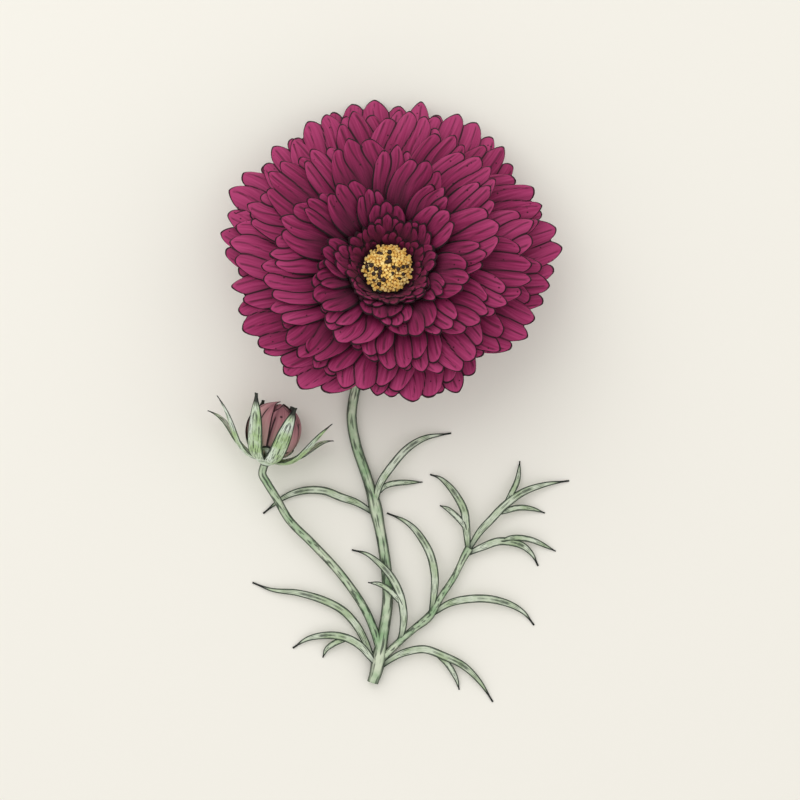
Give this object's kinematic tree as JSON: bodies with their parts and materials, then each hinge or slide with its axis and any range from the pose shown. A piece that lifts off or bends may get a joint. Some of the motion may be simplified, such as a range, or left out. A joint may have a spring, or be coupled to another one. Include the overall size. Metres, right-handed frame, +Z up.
{
  "type": "cosmos flower",
  "caption": "Cut sprig of double cosmos lying face up: ruffled crimson flower, side bud in a green calyx, thin curved stems and narrow forked leaves.",
  "frame": {"origin": "on the surface that the sprig lies on, below the middle of its bounding box", "axes": "+Z up from the surface, +Y from the stem's cut end towards the flower, +X to the right seen from above with the flower away"},
  "size_m": [0.0806, 0.1352, 0.032],
  "materials": {
    "petal_crimson": "matte",
    "disc_yellow": "matte",
    "calyx_green": "satin",
    "stem_green": "satin",
    "leaf_green": "satin",
    "bud_pink": "matte"
  },
  "bodies": {
    "root": {"ray_petal_01": "petal_crimson", "ray_petal_02": "petal_crimson", "ray_petal_03": "petal_crimson", "ray_petal_04": "petal_crimson", "ray_petal_05": "petal_crimson", "ray_petal_06": "petal_crimson", "ray_petal_07": "petal_crimson", "ray_petal_08": "petal_crimson", "ray_petal_09": "petal_crimson", "ray_petal_10": "petal_crimson", "ray_petal_11": "petal_crimson", "ray_petal_12": "petal_crimson", "ray_petal_13": "petal_crimson", "ray_petal_14": "petal_crimson", "ray_petal_15": "petal_crimson", "ray_petal_16": "petal_crimson", "ray_petal_17": "petal_crimson", "ray_petal_18": "petal_crimson", "ray_petal_19": "petal_crimson", "ray_petal_20": "petal_crimson", "ray_petal_21": "petal_crimson", "ray_petal_22": "petal_crimson", "ray_petal_23": "petal_crimson", "ray_petal_24": "petal_crimson", "ray_petal_25": "petal_crimson", "ray_petal_26": "petal_crimson", "ray_petal_27": "petal_crimson", "ray_petal_28": "petal_crimson", "ray_petal_29": "petal_crimson", "ray_petal_30": "petal_crimson", "ray_petal_31": "petal_crimson", "ray_petal_32": "petal_crimson", "ray_petal_33": "petal_crimson", "ray_petal_34": "petal_crimson", "ray_petal_35": "petal_crimson", "ray_petal_36": "petal_crimson", "disc": "disc_yellow", "calyx": "calyx_green", "bud_calyx": "calyx_green", "main_stem": "stem_green", "bud_stem": "stem_green", "shoot_stem": "stem_green", "leaf_upper_right": "leaf_green", "leaf_upper_left": "leaf_green", "leaf_base_left": "leaf_green", "leaf_base_left_low": "leaf_green", "leaf_base_right": "leaf_green", "leaf_base_centre": "leaf_green", "shoot_leaflet_left": "leaf_green", "shoot_leaflet_right": "leaf_green", "shoot_top_left": "leaf_green", "shoot_top_right": "leaf_green", "shoot_tip": "leaf_green", "bud_petal_1": "bud_pink", "bud_petal_2": "bud_pink", "bud_petal_3": "bud_pink", "bud_petal_4": "bud_pink", "bud_petal_5": "bud_pink"}
  },
  "joints": []
}
